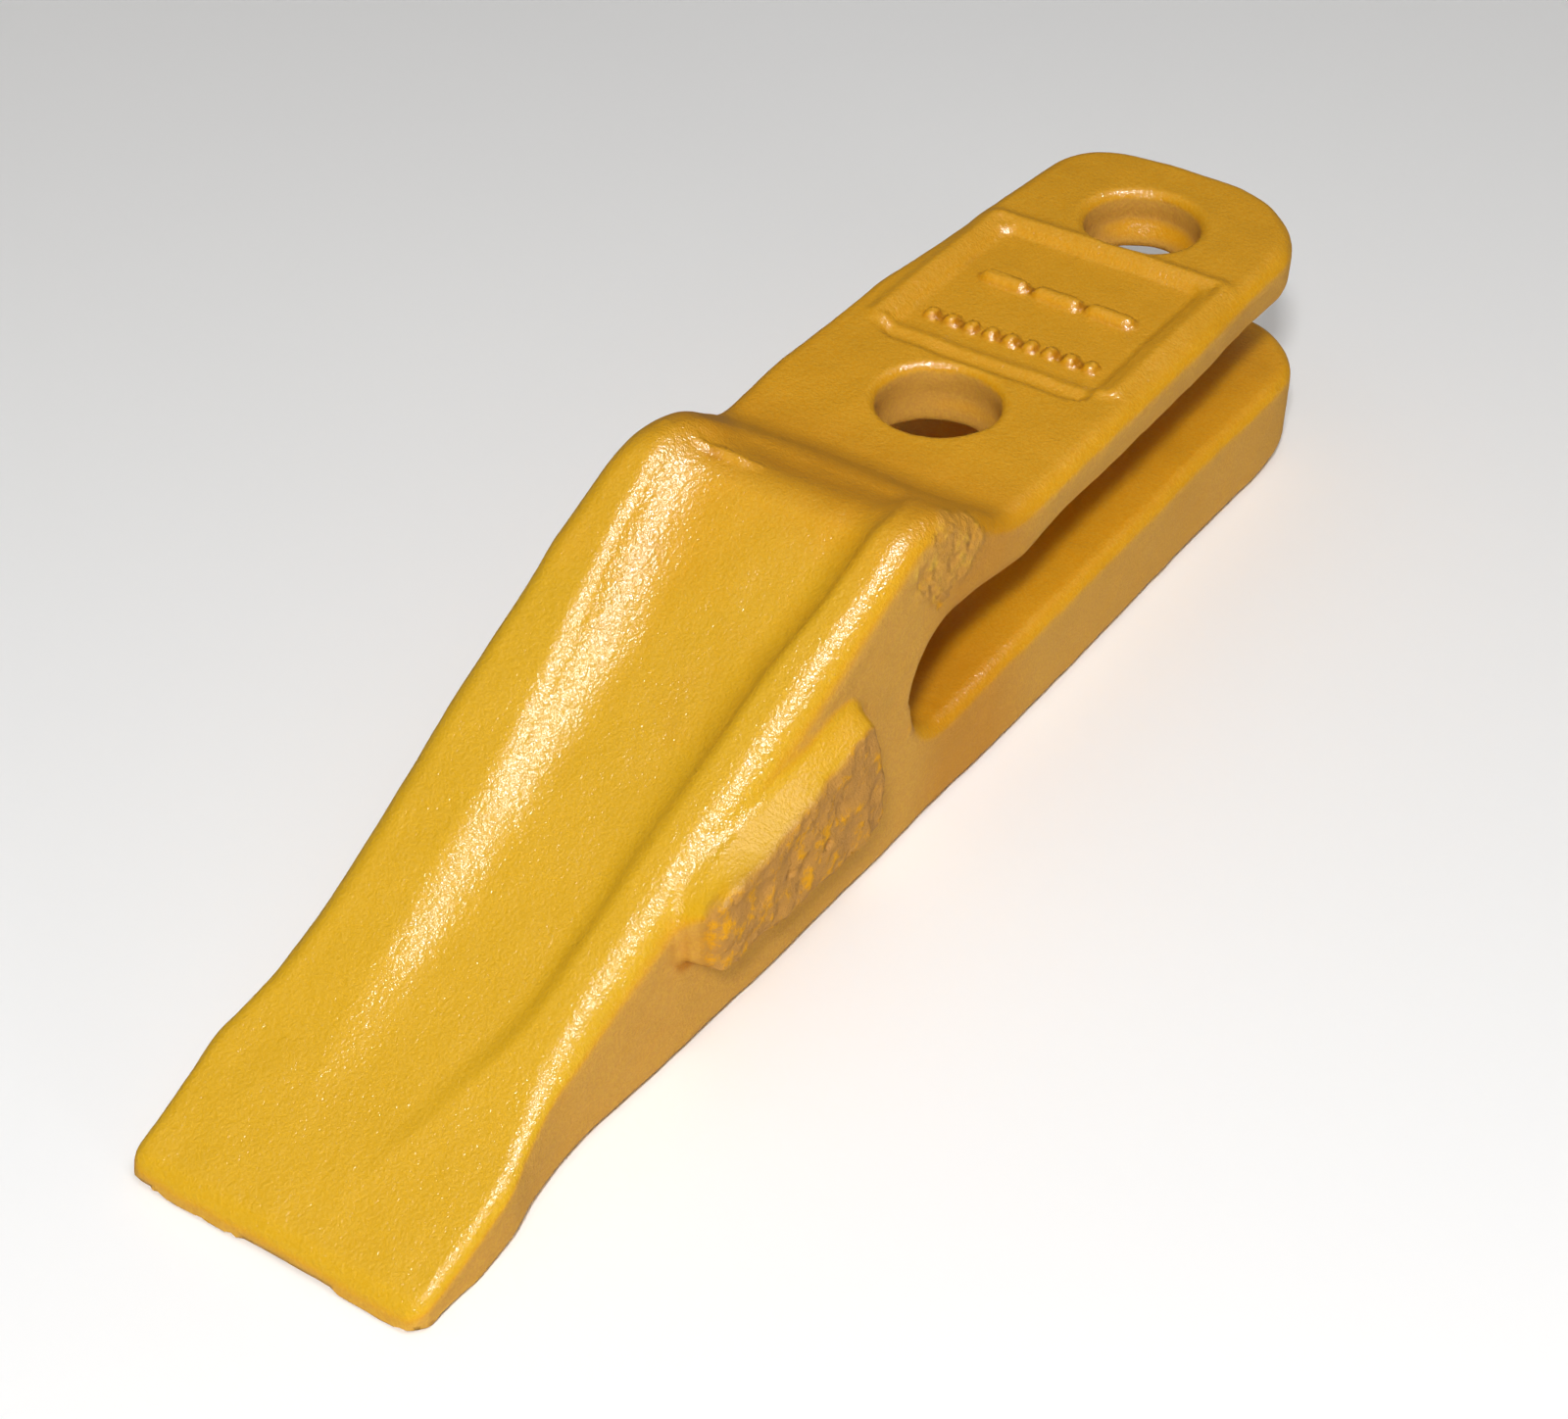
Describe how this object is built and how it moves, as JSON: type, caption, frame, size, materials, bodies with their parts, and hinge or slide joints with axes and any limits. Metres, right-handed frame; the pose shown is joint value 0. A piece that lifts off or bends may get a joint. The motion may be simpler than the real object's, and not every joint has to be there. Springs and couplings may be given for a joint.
{
  "type": "excavator bucket tooth",
  "caption": "Cast bolt-on bucket tooth for a small excavator, with a forked shank, bolt holes through both legs, a scooped blade and a flared cutting tip.",
  "frame": {"origin": "on the front bolt hole's axis, half-way between the two legs of the fork", "axes": "+X to the cutting tip, +Z along the bolt holes towards the scooped side, +Y to the side with the lug"},
  "size_m": [0.1816, 0.0405, 0.0385],
  "materials": {
    "painted_casting": "glossy yellow enamel over a grainy sand casting"
  },
  "bodies": {
    "root": {"tooth_casting": "painted_casting"}
  },
  "joints": []
}
